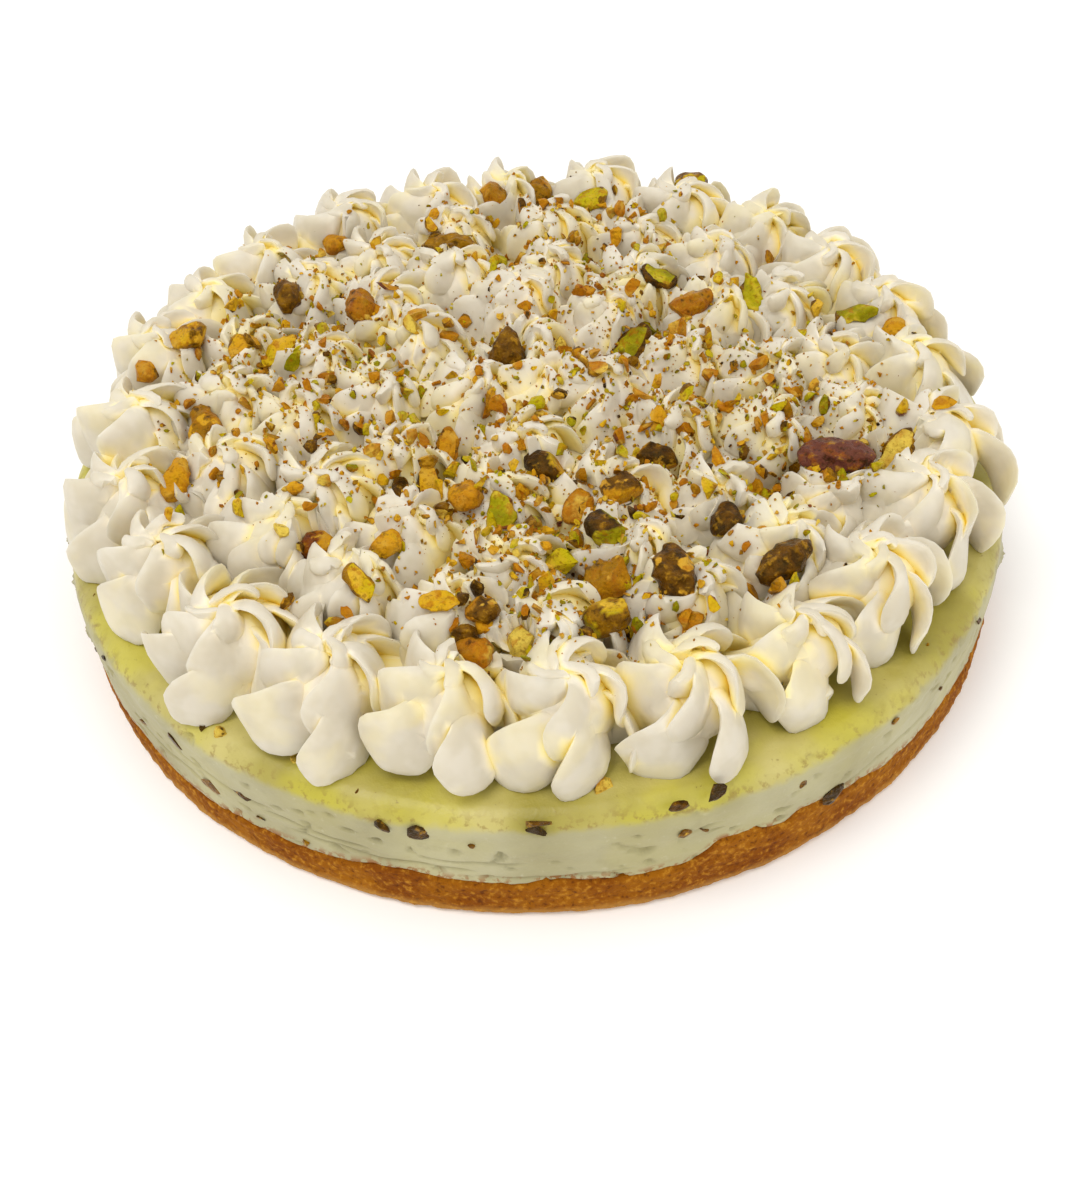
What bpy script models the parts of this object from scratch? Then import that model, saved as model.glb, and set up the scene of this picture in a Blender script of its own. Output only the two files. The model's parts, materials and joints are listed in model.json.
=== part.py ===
"""A round baked pistachio cheesecake: a pressed biscuit crust, a set cheesecake layer, a top of
piped cream rosettes with chopped pistachio on them, and whole kernels pressed into the cream.

Metres, +Z up. The origin is the centre of the flat underside, and -Y is the front.
"""

import math
import random

import bmesh
import bpy
from mathutils import Euler, Matrix, Vector, noise
from mathutils.bvhtree import BVHTree

# The cake, from a 230 mm springform tin
TIN_RADIUS = 0.115
TURN_STEPS = 72
CRUST_INNER_TOP = 0.010
CAKE_TOP = 0.033
GAP = 0.0003

# Height of the crust's uneven edge round the side: azimuth in degrees and height in millimetres
CRUST_LINE = (
    (0, 10.5), (15, 12.5), (30, 12), (45, 14), (60, 12), (75, 13.5), (90, 11.5), (105, 13), (120, 12),
    (135, 10.5), (150, 12), (165, 11.5), (180, 12.5), (195, 10.5), (208, 8.5), (225, 9), (235, 10),
    (245, 11), (255, 13), (265, 12), (270, 13), (278, 11.5), (283.5, 12.5), (287.5, 17.5), (291, 16.5),
    (294, 14), (297, 16.5), (303, 15), (309, 13), (316, 13), (325, 12), (337, 11),
)
CRUST_BULGE = 0.0005
SIDE_RELIEF = 0.0007
TOP_SHOULDER = 0.0055

# The piped cream
CREAM_CENTRE = Vector((0.0, -0.0005, 0))
CREAM_BASE = CAKE_TOP + GAP
BED_RADIUS = 0.096
BED_HEIGHT = 0.0085
BED_SIDES = 40
ROSETTE_RADIUS = 0.0151
ROSETTE_HEIGHT = 0.0222
ROSETTE_PITCH = 0.0246
OUTER_ROW_RADIUS = 0.0936
ROW_SPACING = 0.0190
ROW_COUNT = 6
OUTER_ROW_PHASE = math.radians(-88)
ROSETTE_SEED = 41
# Share of the fused cream's faces that is kept, once the slivers where rosettes meet are merged
CREAM_DETAIL = 0.64
# Height, as a share of the rosette's, then lobe radius and valley radius as shares of its radius
OUTER_RINGS = ((-0.03, 0.82, 0.66), (0.28, 1.00, 0.78), (0.68, 0.80, 0.56), (0.93, 0.42, 0.26))
INNER_RINGS = ((0.20, 1.00, 0.76), (0.64, 0.84, 0.56), (0.91, 0.44, 0.26))

# Chopped nuts fused to the cream
CHIP_COUNT = 36
CHIP_SIZE = (0.0032, 0.0058)
CHIP_AREA_RADIUS = 0.088
CHIP_SEED = 7

# Whole, halved and broken kernels as they lie: place in millimetres from the cake's centre, length
# and width in millimetres, heading and pitch in degrees, and how the nut is cut
KERNELS = (
    (-5.5, 12, 15, 9, 85, 55, "whole"), (-20.5, 62, 14, 8, -8, 5, "whole"),
    (25, 17.5, 15, 8.5, 55, 20, "half"), (-77, -10.5, 13.5, 8, 100, 30, "whole"),
    (-80.5, -29, 11, 6.5, 80, 35, "whole"), (-46.5, -50, 12, 9, 15, 15, "chunk"),
    (-36.5, -67.5, 9.5, 5.5, 130, 20, "half"), (66.5, -34, 16, 10, -12, 8, "whole"),
    (81, -30.5, 14, 7.5, 55, 20, "half"), (27, -69.5, 12, 8.5, 110, 30, "whole"),
    (50.5, -65, 12.5, 8, 30, 15, "whole"), (14, -54, 11, 8.5, 120, 10, "chunk"),
    (14.5, -65.5, 13, 10, 15, 15, "chunk"), (13.5, -77.5, 12, 9.5, 10, 12, "chunk"),
    (-13, -84.5, 9.5, 8, -10, 12, "chunk"), (-51.5, 69, 9, 7, 0, 15, "chunk"),
    (-8, 87, 10, 7.5, 140, 20, "whole"), (5, 92.5, 9.5, 7.5, 80, 25, "whole"),
    (19, 82, 10, 8, 20, 15, "half"), (41, 26.5, 12, 8, 20, 12, "whole"),
    (57.5, 32, 11, 6.5, 95, 25, "half"), (82, 21.5, 10.5, 6.5, -5, 15, "half"),
    (91, 14.5, 9, 7.5, 10, 15, "chunk"), (-42.5, 32.5, 10, 8, 100, 25, "whole"),
    (-62, 17.5, 12, 9, 35, 20, "half"), (-84, 21, 11.5, 8.5, -15, 20, "chunk"),
    (34.5, 41, 9.5, 7.5, 150, 15, "half"), (27.5, -25.5, 10, 8, 170, 10, "whole"),
    (19, -41, 10.5, 8.5, 20, 10, "chunk"), (2.5, -28.5, 9.5, 8, 160, 20, "whole"),
    (-24, -31.5, 10, 6, 95, 25, "half"), (49, 92.5, 12, 8, -20, 15, "chunk"),
    (-30.5, -33, 9, 5.5, 90, 20, "whole"), (-32, -53.5, 10, 6.5, 20, 10, "chunk"),
    (-20, -74, 9, 6, -10, 10, "half"), (-11.5, -75, 7.5, 7, 60, 15, "chunk"),
    (-4.5, -80.5, 7.5, 6.5, 60, 15, "chunk"), (-71.5, 17.5, 9, 6, 80, 20, "half"),
    (-61.5, 37.5, 9.5, 7.5, 90, 20, "whole"), (9, -42.5, 9, 6.5, 75, 20, "half"),
    (-8, -44, 10, 7, 105, 20, "half"), (-15, -39.5, 8.5, 7, 10, 15, "chunk"),
    (-20, -18.5, 10, 6, 80, 30, "half"), (40.5, -51, 8.5, 7, 85, 15, "whole"),
)
KERNEL_DEPTH_RATIO = 0.82
KERNEL_SIDES = 7
KERNEL_RINGS = 5
KERNEL_LIFT = 0.12
POCKET_CLEARANCE = 0.0004

# Base colours, linear RGB
CRUST_COLOUR = (0.36, 0.14, 0.024)
CHEESECAKE_COLOUR = (0.50, 0.46, 0.24)
CREAM_COLOUR = (0.80, 0.71, 0.52)
KERNEL_COLOUR = (0.22, 0.13, 0.025)


def clear_scene():
    for obj in list(bpy.data.objects):
        bpy.data.objects.remove(obj, do_unlink=True)


def new_collection(name):
    collection = bpy.data.collections.new(name)
    bpy.context.scene.collection.children.link(collection)
    return collection


def food_material(name, colour, roughness):
    material = bpy.data.materials.new(name)
    material.use_nodes = True
    shader = material.node_tree.nodes["Principled BSDF"]
    shader.inputs["Base Color"].default_value = (*colour, 1)
    shader.inputs["Roughness"].default_value = roughness
    shader.inputs["Metallic"].default_value = 0
    return material


def mesh_object(name, shape, collection):
    """Turns a bmesh into a named object and frees the bmesh."""
    mesh = bpy.data.meshes.new(name)
    shape.to_mesh(mesh)
    shape.free()
    obj = bpy.data.objects.new(name, mesh)
    collection.objects.link(obj)
    return obj


def applied(obj):
    """Applies an object's modifiers to its mesh."""
    depsgraph = bpy.context.evaluated_depsgraph_get()
    mesh = bpy.data.meshes.new_from_object(obj.evaluated_get(depsgraph))
    obj.modifiers.clear()
    obj.data = mesh
    return obj


def turned(name, profile, collection):
    """A profile of (radius, height) points from the axis to the axis, turned once round Z."""
    shape = bmesh.new()
    points = [shape.verts.new((radius, 0, height)) for radius, height in profile]
    for start, end in zip(points, points[1:]):
        shape.edges.new((start, end))
    obj = mesh_object(name, shape, collection)
    screw = obj.modifiers.new("turn", "SCREW")
    screw.steps = TURN_STEPS
    screw.render_steps = TURN_STEPS
    screw.use_merge_vertices = True
    screw.merge_threshold = 0.00001
    return applied(obj)


def smooth_step(value, low, high):
    share = min(max((value - low) / (high - low), 0), 1)
    return share * share * (3 - 2 * share)


def crust_line(azimuth):
    """Height of the crust's edge at an azimuth in radians, eased between the listed points."""
    degrees = math.degrees(azimuth) % 360
    points = list(CRUST_LINE) + [(CRUST_LINE[0][0] + 360, CRUST_LINE[0][1])]
    for (start, low), (end, high) in zip(points, points[1:]):
        if start <= degrees <= end:
            return (low + (high - low) * smooth_step(degrees, start, end)) / 1000
    return CRUST_INNER_TOP


def interface_height(radius, azimuth):
    """The surface between crust and cheesecake: level inside, then up or down to the crust's edge."""
    share = smooth_step(radius, 0.80 * TIN_RADIUS, 0.95 * TIN_RADIUS)
    return CRUST_INNER_TOP + (crust_line(azimuth) - CRUST_INNER_TOP) * share


def side_relief(azimuth, height, seed):
    """Uneven side: broad swells and shorter lumps, from -1 to 1."""
    place = Vector((math.cos(azimuth), math.sin(azimuth), 0)) * TIN_RADIUS
    place.z = height
    broad = noise.noise(place * 28 + Vector((seed, 0, 0)))
    fine = noise.noise(place * 95 + Vector((0, seed, 0)))
    return broad + 0.7 * fine


def polar(point):
    return math.hypot(point.x, point.y), math.atan2(point.y, point.x)


def split_alike(obj):
    """Splits each quad along its shorter diagonal, so that faces laid on each other split alike."""
    shape = bmesh.new()
    shape.from_mesh(obj.data)
    bmesh.ops.triangulate(shape, faces=shape.faces[:], quad_method="SHORT_EDGE")
    shape.to_mesh(obj.data)
    shape.free()


def make_crust(collection):
    """Pressed crumbs: a flat underside, a slightly bulging wall and an uneven upper edge."""
    edge = TIN_RADIUS - 0.0008
    profile = (
        (0, CRUST_INNER_TOP), (0.80 * TIN_RADIUS, CRUST_INNER_TOP), (0.93 * TIN_RADIUS, CRUST_INNER_TOP),
        (edge, CRUST_INNER_TOP), (TIN_RADIUS, 0.0078), (TIN_RADIUS, 0.0032), (edge, 0), (0, 0),
    )
    crust = turned("crust", profile, collection)
    for vertex in crust.data.vertices:
        radius, azimuth = polar(vertex.co)
        height = vertex.co.z
        if abs(height - CRUST_INNER_TOP) < 1e-6:
            vertex.co.z = interface_height(radius, azimuth)
        elif height > 0.005:
            vertex.co.z = 0.72 * crust_line(azimuth)
        if radius > 0.99 * TIN_RADIUS:
            outward = vertex.co.xy / radius
            vertex.co.xy = outward * (radius + CRUST_BULGE * side_relief(azimuth, height, 3))
    split_alike(crust)
    crust.data.materials.append(food_material("crust", CRUST_COLOUR, 0.9))
    return crust


def make_filling(collection):
    """The set cheesecake: it follows the crust underneath and is rounded at its top edge."""
    edge = TIN_RADIUS - 0.0008
    top = CAKE_TOP
    corner = top - TOP_SHOULDER
    wall = tuple((edge, CRUST_INNER_TOP + share * (corner - CRUST_INNER_TOP)) for share in (1, 0.7, 0.4, 0.15))
    shoulder = tuple(
        (edge - TOP_SHOULDER * (1 - math.cos(turn)), corner + TOP_SHOULDER * math.sin(turn))
        for turn in (math.radians(72), math.radians(36))
    )
    profile = (
        (0, top), (edge - 1.5 * TOP_SHOULDER, top), *shoulder, *wall,
        (edge, CRUST_INNER_TOP), (0.93 * TIN_RADIUS, CRUST_INNER_TOP),
        (0.80 * TIN_RADIUS, CRUST_INNER_TOP), (0, CRUST_INNER_TOP),
    )
    filling = turned("filling", profile, collection)
    for vertex in filling.data.vertices:
        radius, azimuth = polar(vertex.co)
        outward = vertex.co.xy / max(radius, 1e-6)
        share = (vertex.co.z - CRUST_INNER_TOP) / (corner - CRUST_INNER_TOP)
        if share < 1e-4:
            vertex.co.z = interface_height(radius, azimuth) + GAP
            if radius > 0.99 * TIN_RADIUS:
                vertex.co.xy = outward * (radius + CRUST_BULGE * side_relief(azimuth, CRUST_INNER_TOP, 3))
            continue
        if share < 1:
            low = crust_line(azimuth) + GAP
            vertex.co.z = low + share * (corner - low)
        if radius > edge - 0.9 * TOP_SHOULDER:
            vertex.co.xy = outward * (radius + SIDE_RELIEF * side_relief(azimuth, vertex.co.z, 11))
    split_alike(filling)
    filling.data.materials.append(food_material("cheesecake", CHEESECAKE_COLOUR, 0.6))
    return filling


def rosette_places():
    """Every rosette, row by row from the rim in: place, radius, height, first lobe, twist, row."""
    draw = random.Random(ROSETTE_SEED)
    places = []
    for row in range(ROW_COUNT):
        row_radius = max(OUTER_ROW_RADIUS - row * ROW_SPACING, 0)
        count = max(round(math.tau * row_radius / ROSETTE_PITCH), 1)
        phase = OUTER_ROW_PHASE + row * 0.37
        for number in range(count):
            azimuth = phase + math.tau * number / count + draw.uniform(-0.02, 0.02)
            reach = row_radius + draw.uniform(-0.0012, 0.0012)
            centre = CREAM_CENTRE + Vector((math.cos(azimuth), math.sin(azimuth), 0)) * reach
            radius = ROSETTE_RADIUS * draw.uniform(0.94, 1.06)
            height = ROSETTE_HEIGHT * draw.uniform(0.88, 1.04)
            first_lobe = draw.uniform(0, math.tau)
            twist = math.radians(draw.uniform(45, 75))
            places.append((centre, radius, height, first_lobe, twist, row))
    return places


def make_rosette(place, collection):
    """One piped rosette: lobed rings that turn and narrow up to a peak."""
    centre, radius, height, first_lobe, twist, row = place
    rings = OUTER_RINGS if row == 0 else INNER_RINGS
    lobes = 6 if row == 0 else 5
    shape = bmesh.new()
    loops = []
    for share, lobe_radius, valley_radius in rings:
        loop = []
        for corner in range(2 * lobes):
            azimuth = first_lobe + math.pi * corner / lobes + twist * share
            reach = radius * (valley_radius if corner % 2 else lobe_radius)
            flat = Vector((math.cos(azimuth), math.sin(azimuth), 0)) * reach
            loop.append(shape.verts.new(centre + flat + Vector((0, 0, CREAM_BASE + height * share))))
        loops.append(loop)
    for lower, upper in zip(loops, loops[1:]):
        for corner in range(2 * lobes):
            after = (corner + 1) % (2 * lobes)
            shape.faces.new((lower[corner], lower[after], upper[after], upper[corner]))
    peak = shape.verts.new(centre + Vector((0, 0, CREAM_BASE + height)))
    for corner in range(2 * lobes):
        shape.faces.new((loops[-1][corner], loops[-1][(corner + 1) % (2 * lobes)], peak))
    shape.faces.new(list(reversed(loops[0])))
    bmesh.ops.triangulate(shape, faces=shape.faces[:])
    return mesh_object("rosette", shape, collection)


def surface_of(objects):
    """A ray-cast surface over several objects, to lay things on them."""
    shape = bmesh.new()
    for obj in objects:
        shape.from_mesh(obj.data)
    surface = BVHTree.FromBMesh(shape)
    shape.free()
    return surface


def height_at(surface, x, y):
    hit = surface.ray_cast(Vector((x, y, 1)), Vector((0, 0, -1)))[0]
    return hit.z if hit else CREAM_BASE


def add_chips(surface, collection):
    """Chopped nuts: small uneven pieces, half sunk, scattered evenly over the cream."""
    draw = random.Random(CHIP_SEED)
    for number in range(CHIP_COUNT):
        reach = CHIP_AREA_RADIUS * math.sqrt((number + 0.5) / CHIP_COUNT)
        azimuth = number * math.pi * (3 - math.sqrt(5)) + draw.uniform(-0.3, 0.3)
        x = CREAM_CENTRE.x + reach * math.cos(azimuth)
        y = CREAM_CENTRE.y + reach * math.sin(azimuth)
        size = draw.uniform(*CHIP_SIZE)
        turn = Euler((draw.uniform(0, 3), draw.uniform(0, 3), draw.uniform(0, 6))).to_matrix().to_4x4()
        stretch = Matrix.Diagonal((1, draw.uniform(0.55, 0.85), draw.uniform(0.5, 0.8), 1))
        shape = bmesh.new()
        bmesh.ops.create_icosphere(shape, subdivisions=1, radius=size / 2)
        lift = Matrix.Translation((x, y, height_at(surface, x, y) + 0.1 * size))
        bmesh.ops.transform(shape, matrix=lift @ turn @ stretch, verts=shape.verts)
        mesh_object("chip", shape, collection)


def boolean(obj, operation, collection):
    """One Boolean on a whole collection, applied, with the collection's objects then removed."""
    step = obj.modifiers.new(operation.lower(), "BOOLEAN")
    step.operation = operation
    step.operand_type = "COLLECTION"
    step.collection = collection
    step.solver = "EXACT"
    applied(obj)
    for operand in list(collection.objects):
        bpy.data.objects.remove(operand, do_unlink=True)


def keep_largest_body(obj):
    """Drops loose scraps and fills sealed hollows, which are closed shells of their own."""
    shape = bmesh.new()
    shape.from_mesh(obj.data)
    bodies = []
    unseen = set(shape.verts)
    while unseen:
        start = unseen.pop()
        body = {start}
        edge_of = [start]
        while edge_of:
            for edge in edge_of.pop().link_edges:
                for vertex in edge.verts:
                    if vertex in unseen:
                        unseen.discard(vertex)
                        body.add(vertex)
                        edge_of.append(vertex)
        bodies.append(body)
    bodies.sort(key=len)
    for body in bodies[:-1]:
        bmesh.ops.delete(shape, geom=list(body), context="VERTS")
    shape.to_mesh(obj.data)
    shape.free()


def kernel_mesh(length, width, cut):
    """A pistachio kernel lying along X: an ovoid with one end narrower, whole, halved or broken."""
    shape = bmesh.new()
    bmesh.ops.create_uvsphere(shape, u_segments=KERNEL_SIDES, v_segments=KERNEL_RINGS, radius=0.5)
    depth = width * KERNEL_DEPTH_RATIO
    for vertex in shape.verts:
        across, up, along = vertex.co
        narrowing = 1 - 0.45 * max(along, 0)
        vertex.co = (along * length, across * width * narrowing, up * depth * narrowing)
        if cut == "half":
            vertex.co.z = min(vertex.co.z, 0.10 * depth)
        if cut == "chunk":
            vertex.co.x = max(min(vertex.co.x, 0.30 * length), -0.38 * length)
            vertex.co.z = min(vertex.co.z, 0.30 * depth)
    return shape


def kernel_frame(surface, x, y, length, width, heading, pitch):
    """Where a kernel lies: on the highest cream under it, sunk a little."""
    turn = Euler((0, -math.radians(pitch), math.radians(heading)), "XYZ").to_matrix()
    samples = []
    for along in (-0.35, 0, 0.35):
        for across in (-0.25, 0.25):
            spot = Vector((x, y, 0)) + turn @ Vector((along * length, across * width, 0))
            samples.append(height_at(surface, spot.x, spot.y))
    samples.sort()
    rest = sum(samples[-4:]) / 4
    return Matrix.Translation((x, y, rest + KERNEL_LIFT * width)) @ turn.to_4x4()


def add_kernels(surface, collection, pockets):
    """The large kernels, and for each a slightly larger pocket that is cut from the cream."""
    material = food_material("pistachio", KERNEL_COLOUR, 0.5)
    for number, (x, y, length, width, heading, pitch, cut) in enumerate(KERNELS, 1):
        x, y, length, width = (value / 1000 for value in (x, y, length, width))
        place = kernel_frame(surface, x, y, length, width, heading, pitch)
        shape = kernel_mesh(length, width, cut)
        shape.transform(place)
        shape.normal_update()
        pocket = shape.copy()
        shifts = [vertex.normal * POCKET_CLEARANCE for vertex in pocket.verts]
        for vertex, shift in zip(pocket.verts, shifts):
            vertex.co += shift
        cutter = mesh_object("pocket", pocket, pockets)
        cutter.hide_render = True
        kernel = mesh_object(f"kernel_{number:02d}", shape, collection)
        kernel.data.materials.append(material)
        kernel.data.shade_smooth()
        kernel.data.set_sharp_from_angle(angle=math.radians(50))


def make_cream(collection):
    """The cream: a low bed with rosettes in rings on it, fused with the chopped nuts."""
    operands = new_collection("cream pieces")
    shape = bmesh.new()
    bmesh.ops.create_cone(
        shape, cap_ends=True, segments=BED_SIDES, radius1=BED_RADIUS, radius2=BED_RADIUS, depth=BED_HEIGHT
    )
    middle = CREAM_CENTRE + Vector((0, 0, CREAM_BASE + BED_HEIGHT / 2))
    bmesh.ops.translate(shape, verts=shape.verts, vec=middle)
    cream = mesh_object("cream", shape, collection)
    cream.data.materials.append(food_material("cream", CREAM_COLOUR, 0.5))
    rosettes = [make_rosette(place, operands) for place in rosette_places()]
    surface = surface_of([cream, *rosettes])
    add_chips(surface, operands)
    boolean(cream, "UNION", operands)
    floor = new_collection("cream floor")
    shape = bmesh.new()
    slab = Matrix.Translation((0, 0, CREAM_BASE - 0.005)) @ Matrix.Diagonal((0.3, 0.3, 0.01, 1))
    bmesh.ops.create_cube(shape, size=1, matrix=slab)
    mesh_object("floor", shape, floor).hide_render = True
    boolean(cream, "DIFFERENCE", floor)
    keep_largest_body(cream)
    thin = cream.modifiers.new("thin", "DECIMATE")
    thin.ratio = CREAM_DETAIL
    applied(cream)
    pockets = new_collection("kernel pockets")
    add_kernels(surface_of([cream]), collection, pockets)
    boolean(cream, "DIFFERENCE", pockets)
    keep_largest_body(cream)
    for spare in (operands, floor, pockets):
        bpy.data.collections.remove(spare)


def main():
    clear_scene()
    cake = new_collection("cheesecake")
    make_crust(cake)
    make_filling(cake)
    make_cream(cake)
    for obj in cake.objects:
        faces = sum(len(face.vertices) - 2 for face in obj.data.polygons)
        print(f"{obj.name}: {faces} triangles")


main()
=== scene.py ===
"""The looks of a baked pistachio cheesecake: pressed biscuit crust, set cheesecake, piped cream and nuts.

Metres, +Z up, -Y towards the viewer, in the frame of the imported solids.
"""

import json
import math
import random

import bmesh
import bpy
from mathutils import Euler, Matrix, Vector, noise
from mathutils.bvhtree import BVHTree

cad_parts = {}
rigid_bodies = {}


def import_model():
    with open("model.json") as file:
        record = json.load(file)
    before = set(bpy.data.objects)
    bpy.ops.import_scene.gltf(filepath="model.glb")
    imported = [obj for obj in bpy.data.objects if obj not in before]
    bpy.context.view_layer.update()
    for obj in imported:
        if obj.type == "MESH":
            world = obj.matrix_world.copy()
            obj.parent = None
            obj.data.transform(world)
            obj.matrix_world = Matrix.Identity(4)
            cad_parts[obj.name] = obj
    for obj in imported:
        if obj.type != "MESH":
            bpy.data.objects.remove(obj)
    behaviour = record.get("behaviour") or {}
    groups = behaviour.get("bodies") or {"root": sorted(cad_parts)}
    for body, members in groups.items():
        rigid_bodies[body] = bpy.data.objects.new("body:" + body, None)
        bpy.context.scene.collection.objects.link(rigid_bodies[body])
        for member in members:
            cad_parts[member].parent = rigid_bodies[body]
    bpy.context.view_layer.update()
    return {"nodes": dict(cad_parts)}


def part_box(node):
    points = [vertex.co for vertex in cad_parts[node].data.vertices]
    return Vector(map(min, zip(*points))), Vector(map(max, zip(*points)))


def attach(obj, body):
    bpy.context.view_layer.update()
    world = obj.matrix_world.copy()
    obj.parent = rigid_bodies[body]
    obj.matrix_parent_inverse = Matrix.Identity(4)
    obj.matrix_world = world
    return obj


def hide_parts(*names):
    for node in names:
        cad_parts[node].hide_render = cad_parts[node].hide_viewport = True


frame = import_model()


# The crust: biscuit crumbs bound with butter, pressed into the bottom of the tin and baked through.
# Its wall is dense and grainy, paler along the foot, and its upper edge runs up and down in waves
# where the crumbs were pushed up the side.
CAKE_RADIUS = (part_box("crust")[1].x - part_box("crust")[0].x) / 2
CRUST_INSIDE = 0.010
# Height of the crust's uneven edge round the side: azimuth in degrees and height in millimetres
CRUST_LINE = (
    (0, 10.5), (15, 12.5), (30, 12), (45, 14), (60, 12), (75, 13.5), (90, 11.5), (105, 13), (120, 12),
    (135, 10.5), (150, 12), (165, 11.5), (180, 12.5), (195, 10.5), (208, 8.5), (225, 9), (235, 10),
    (245, 11), (255, 13), (265, 12), (270, 13), (278, 11.5), (283.5, 12.5), (287.5, 17.5), (291, 16.5),
    (294, 14), (297, 16.5), (303, 15), (309, 13), (316, 13), (325, 12), (337, 11),
)
SIDE_STEPS = 900
# The hidden joint under the cheesecake: its rings as shares of the cake's radius, and the two radii
# between which it rises from the level inside to the uneven edge
JOINT_RINGS = (0.60, 0.80, 0.93)
RISE_START = 0.80 * CAKE_RADIUS
RISE_END = 0.95 * CAKE_RADIUS
CRUST_WALL_ROWS = 20
CRUST_BASE_RINGS = (0.985, 0.6)
CRUST_INSET = 0.0004
CRUST_ROUNDING = 0.0009


def eased(value, low, high):
    share = min(max((value - low) / (high - low), 0), 1)
    return share * share * (3 - 2 * share)


def crust_line(azimuth):
    """Height of the crust's edge, eased between the listed places, with small crumbs along it."""
    degrees = math.degrees(azimuth) % 360
    points = list(CRUST_LINE) + [(CRUST_LINE[0][0] + 360, CRUST_LINE[0][1])]
    height = CRUST_INSIDE
    for (start, low), (end, high) in zip(points, points[1:]):
        if start <= degrees <= end:
            height = (low + (high - low) * eased(degrees, start, end)) / 1000
    around = Vector((math.cos(azimuth), math.sin(azimuth), 0)) * CAKE_RADIUS
    return height + 0.0009 * noise.noise(around * 160) + 0.0005 * noise.noise(around * 420)


def revolved(name, rows, steps, place):
    """A closed skin of rings round the axis: place(row, azimuth) puts each point, and both ends close."""
    points = []
    for row in range(rows):
        points += [place(row, math.tau * step / steps) for step in range(steps)]
    faces = []
    for row in range(rows - 1):
        for step in range(steps):
            after = (step + 1) % steps
            low, high = row * steps, (row + 1) * steps
            faces.append((low + step, high + step, high + after, low + after))
    points += [Vector((0, 0, points[0].z)), Vector((0, 0, points[(rows - 1) * steps].z))]
    start, end, last = len(points) - 2, len(points) - 1, (rows - 1) * steps
    for step in range(steps):
        after = (step + 1) % steps
        faces.append((start, step, after))
        faces.append((end, last + after, last + step))
    mesh = bpy.data.meshes.new(name)
    mesh.from_pydata(points, [], faces)
    mesh.shade_smooth()
    piece = bpy.data.objects.new(name, mesh)
    bpy.context.scene.collection.objects.link(piece)
    return piece


def joint_place(ring, outward, line):
    """A point of the joint between crust and cheesecake."""
    radius = JOINT_RINGS[ring] * CAKE_RADIUS
    height = CRUST_INSIDE + (line - CRUST_INSIDE) * eased(radius, RISE_START, RISE_END)
    return outward * radius + Vector((0, 0, height))


def crust_place(row, azimuth):
    """The first rows lie under the cheesecake, the next run down the wall, and the last are the base."""
    line = crust_line(azimuth)
    outward = Vector((math.cos(azimuth), math.sin(azimuth), 0))
    wall_row = row - len(JOINT_RINGS)
    if wall_row < 0:
        return joint_place(row, outward, line)
    if wall_row >= CRUST_WALL_ROWS:
        return outward * CAKE_RADIUS * CRUST_BASE_RINGS[wall_row - CRUST_WALL_ROWS]
    share = wall_row / (CRUST_WALL_ROWS - 1)
    height = line * (1 - share)
    rounding = CRUST_ROUNDING * (eased(share, 0.14, 0.0) + eased(share, 0.90, 1.0))
    spot = outward * CAKE_RADIUS + Vector((0, 0, height))
    relief = 0.0004 * noise.noise(spot * 60) + 0.00034 * noise.noise(spot * 380)
    relief += 0.00022 * noise.noise(spot * 800)
    return outward * (CAKE_RADIUS - CRUST_INSET - rounding + relief) + Vector((0, 0, height))


def paint(red, green, blue):
    """A colour from its 0 to 255 screen values, as linear light."""
    return (*((channel / 255) ** 2.2 for channel in (red, green, blue)), 1)


class Tone:
    """A value or a colour at one socket of a material. Arithmetic on values adds Math nodes."""

    def __init__(self, tree, socket):
        self.tree = tree
        self.socket = socket

    def add(self, kind, settings, values, output=0):
        """Adds a node, sets it up, then gives its sockets numbers, colours or other tones."""
        node = self.tree.nodes.new(kind)
        for name, setting in settings.items():
            if name == "stops":
                for position, colour in setting[2:]:
                    node.color_ramp.elements.new(position)
                for element, (position, colour) in zip(node.color_ramp.elements, setting):
                    element.position = position
                    element.color = colour
            else:
                setattr(node, name, setting)
        for name, value in values.items():
            if isinstance(value, Tone):
                self.tree.links.new(value.socket, node.inputs[name])
            else:
                node.inputs[name].default_value = value
        return Tone(self.tree, node.outputs[output])

    def math(self, operation, first, second):
        return self.add("ShaderNodeMath", {"operation": operation}, {0: first, 1: second})

    def __add__(self, other):
        return self.math("ADD", self, other)

    def __sub__(self, other):
        return self.math("SUBTRACT", self, other)

    def __rsub__(self, other):
        return self.math("SUBTRACT", other, self)

    def __mul__(self, other):
        return self.math("MULTIPLY", self, other)

    __radd__ = __add__
    __rmul__ = __mul__

    def between(self, low, high):
        """0 below low, 1 above high, eased in between."""
        settings = {"interpolation_type": "SMOOTHSTEP"}
        return self.add("ShaderNodeMapRange", settings, {"Value": self, "From Min": low, "From Max": high})

    def ramp(self, stops):
        """A colour from a row of (value, colour) stops."""
        return self.add("ShaderNodeValToRGB", {"stops": stops}, {0: self})

    def blend(self, none, full):
        """A colour: none where this value is 0, full where it is 1."""
        settings = {"data_type": "RGBA"}
        return self.add("ShaderNodeMix", settings, {0: self, 6: none, 7: full}, 2)

    def grain(self, scale, detail=2, rough=0.5):
        """Soft noise from 0 to 1, on the place that this tone holds."""
        values = {"Vector": self, "Scale": scale, "Detail": detail, "Roughness": rough}
        return self.add("ShaderNodeTexNoise", {}, values)


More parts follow.
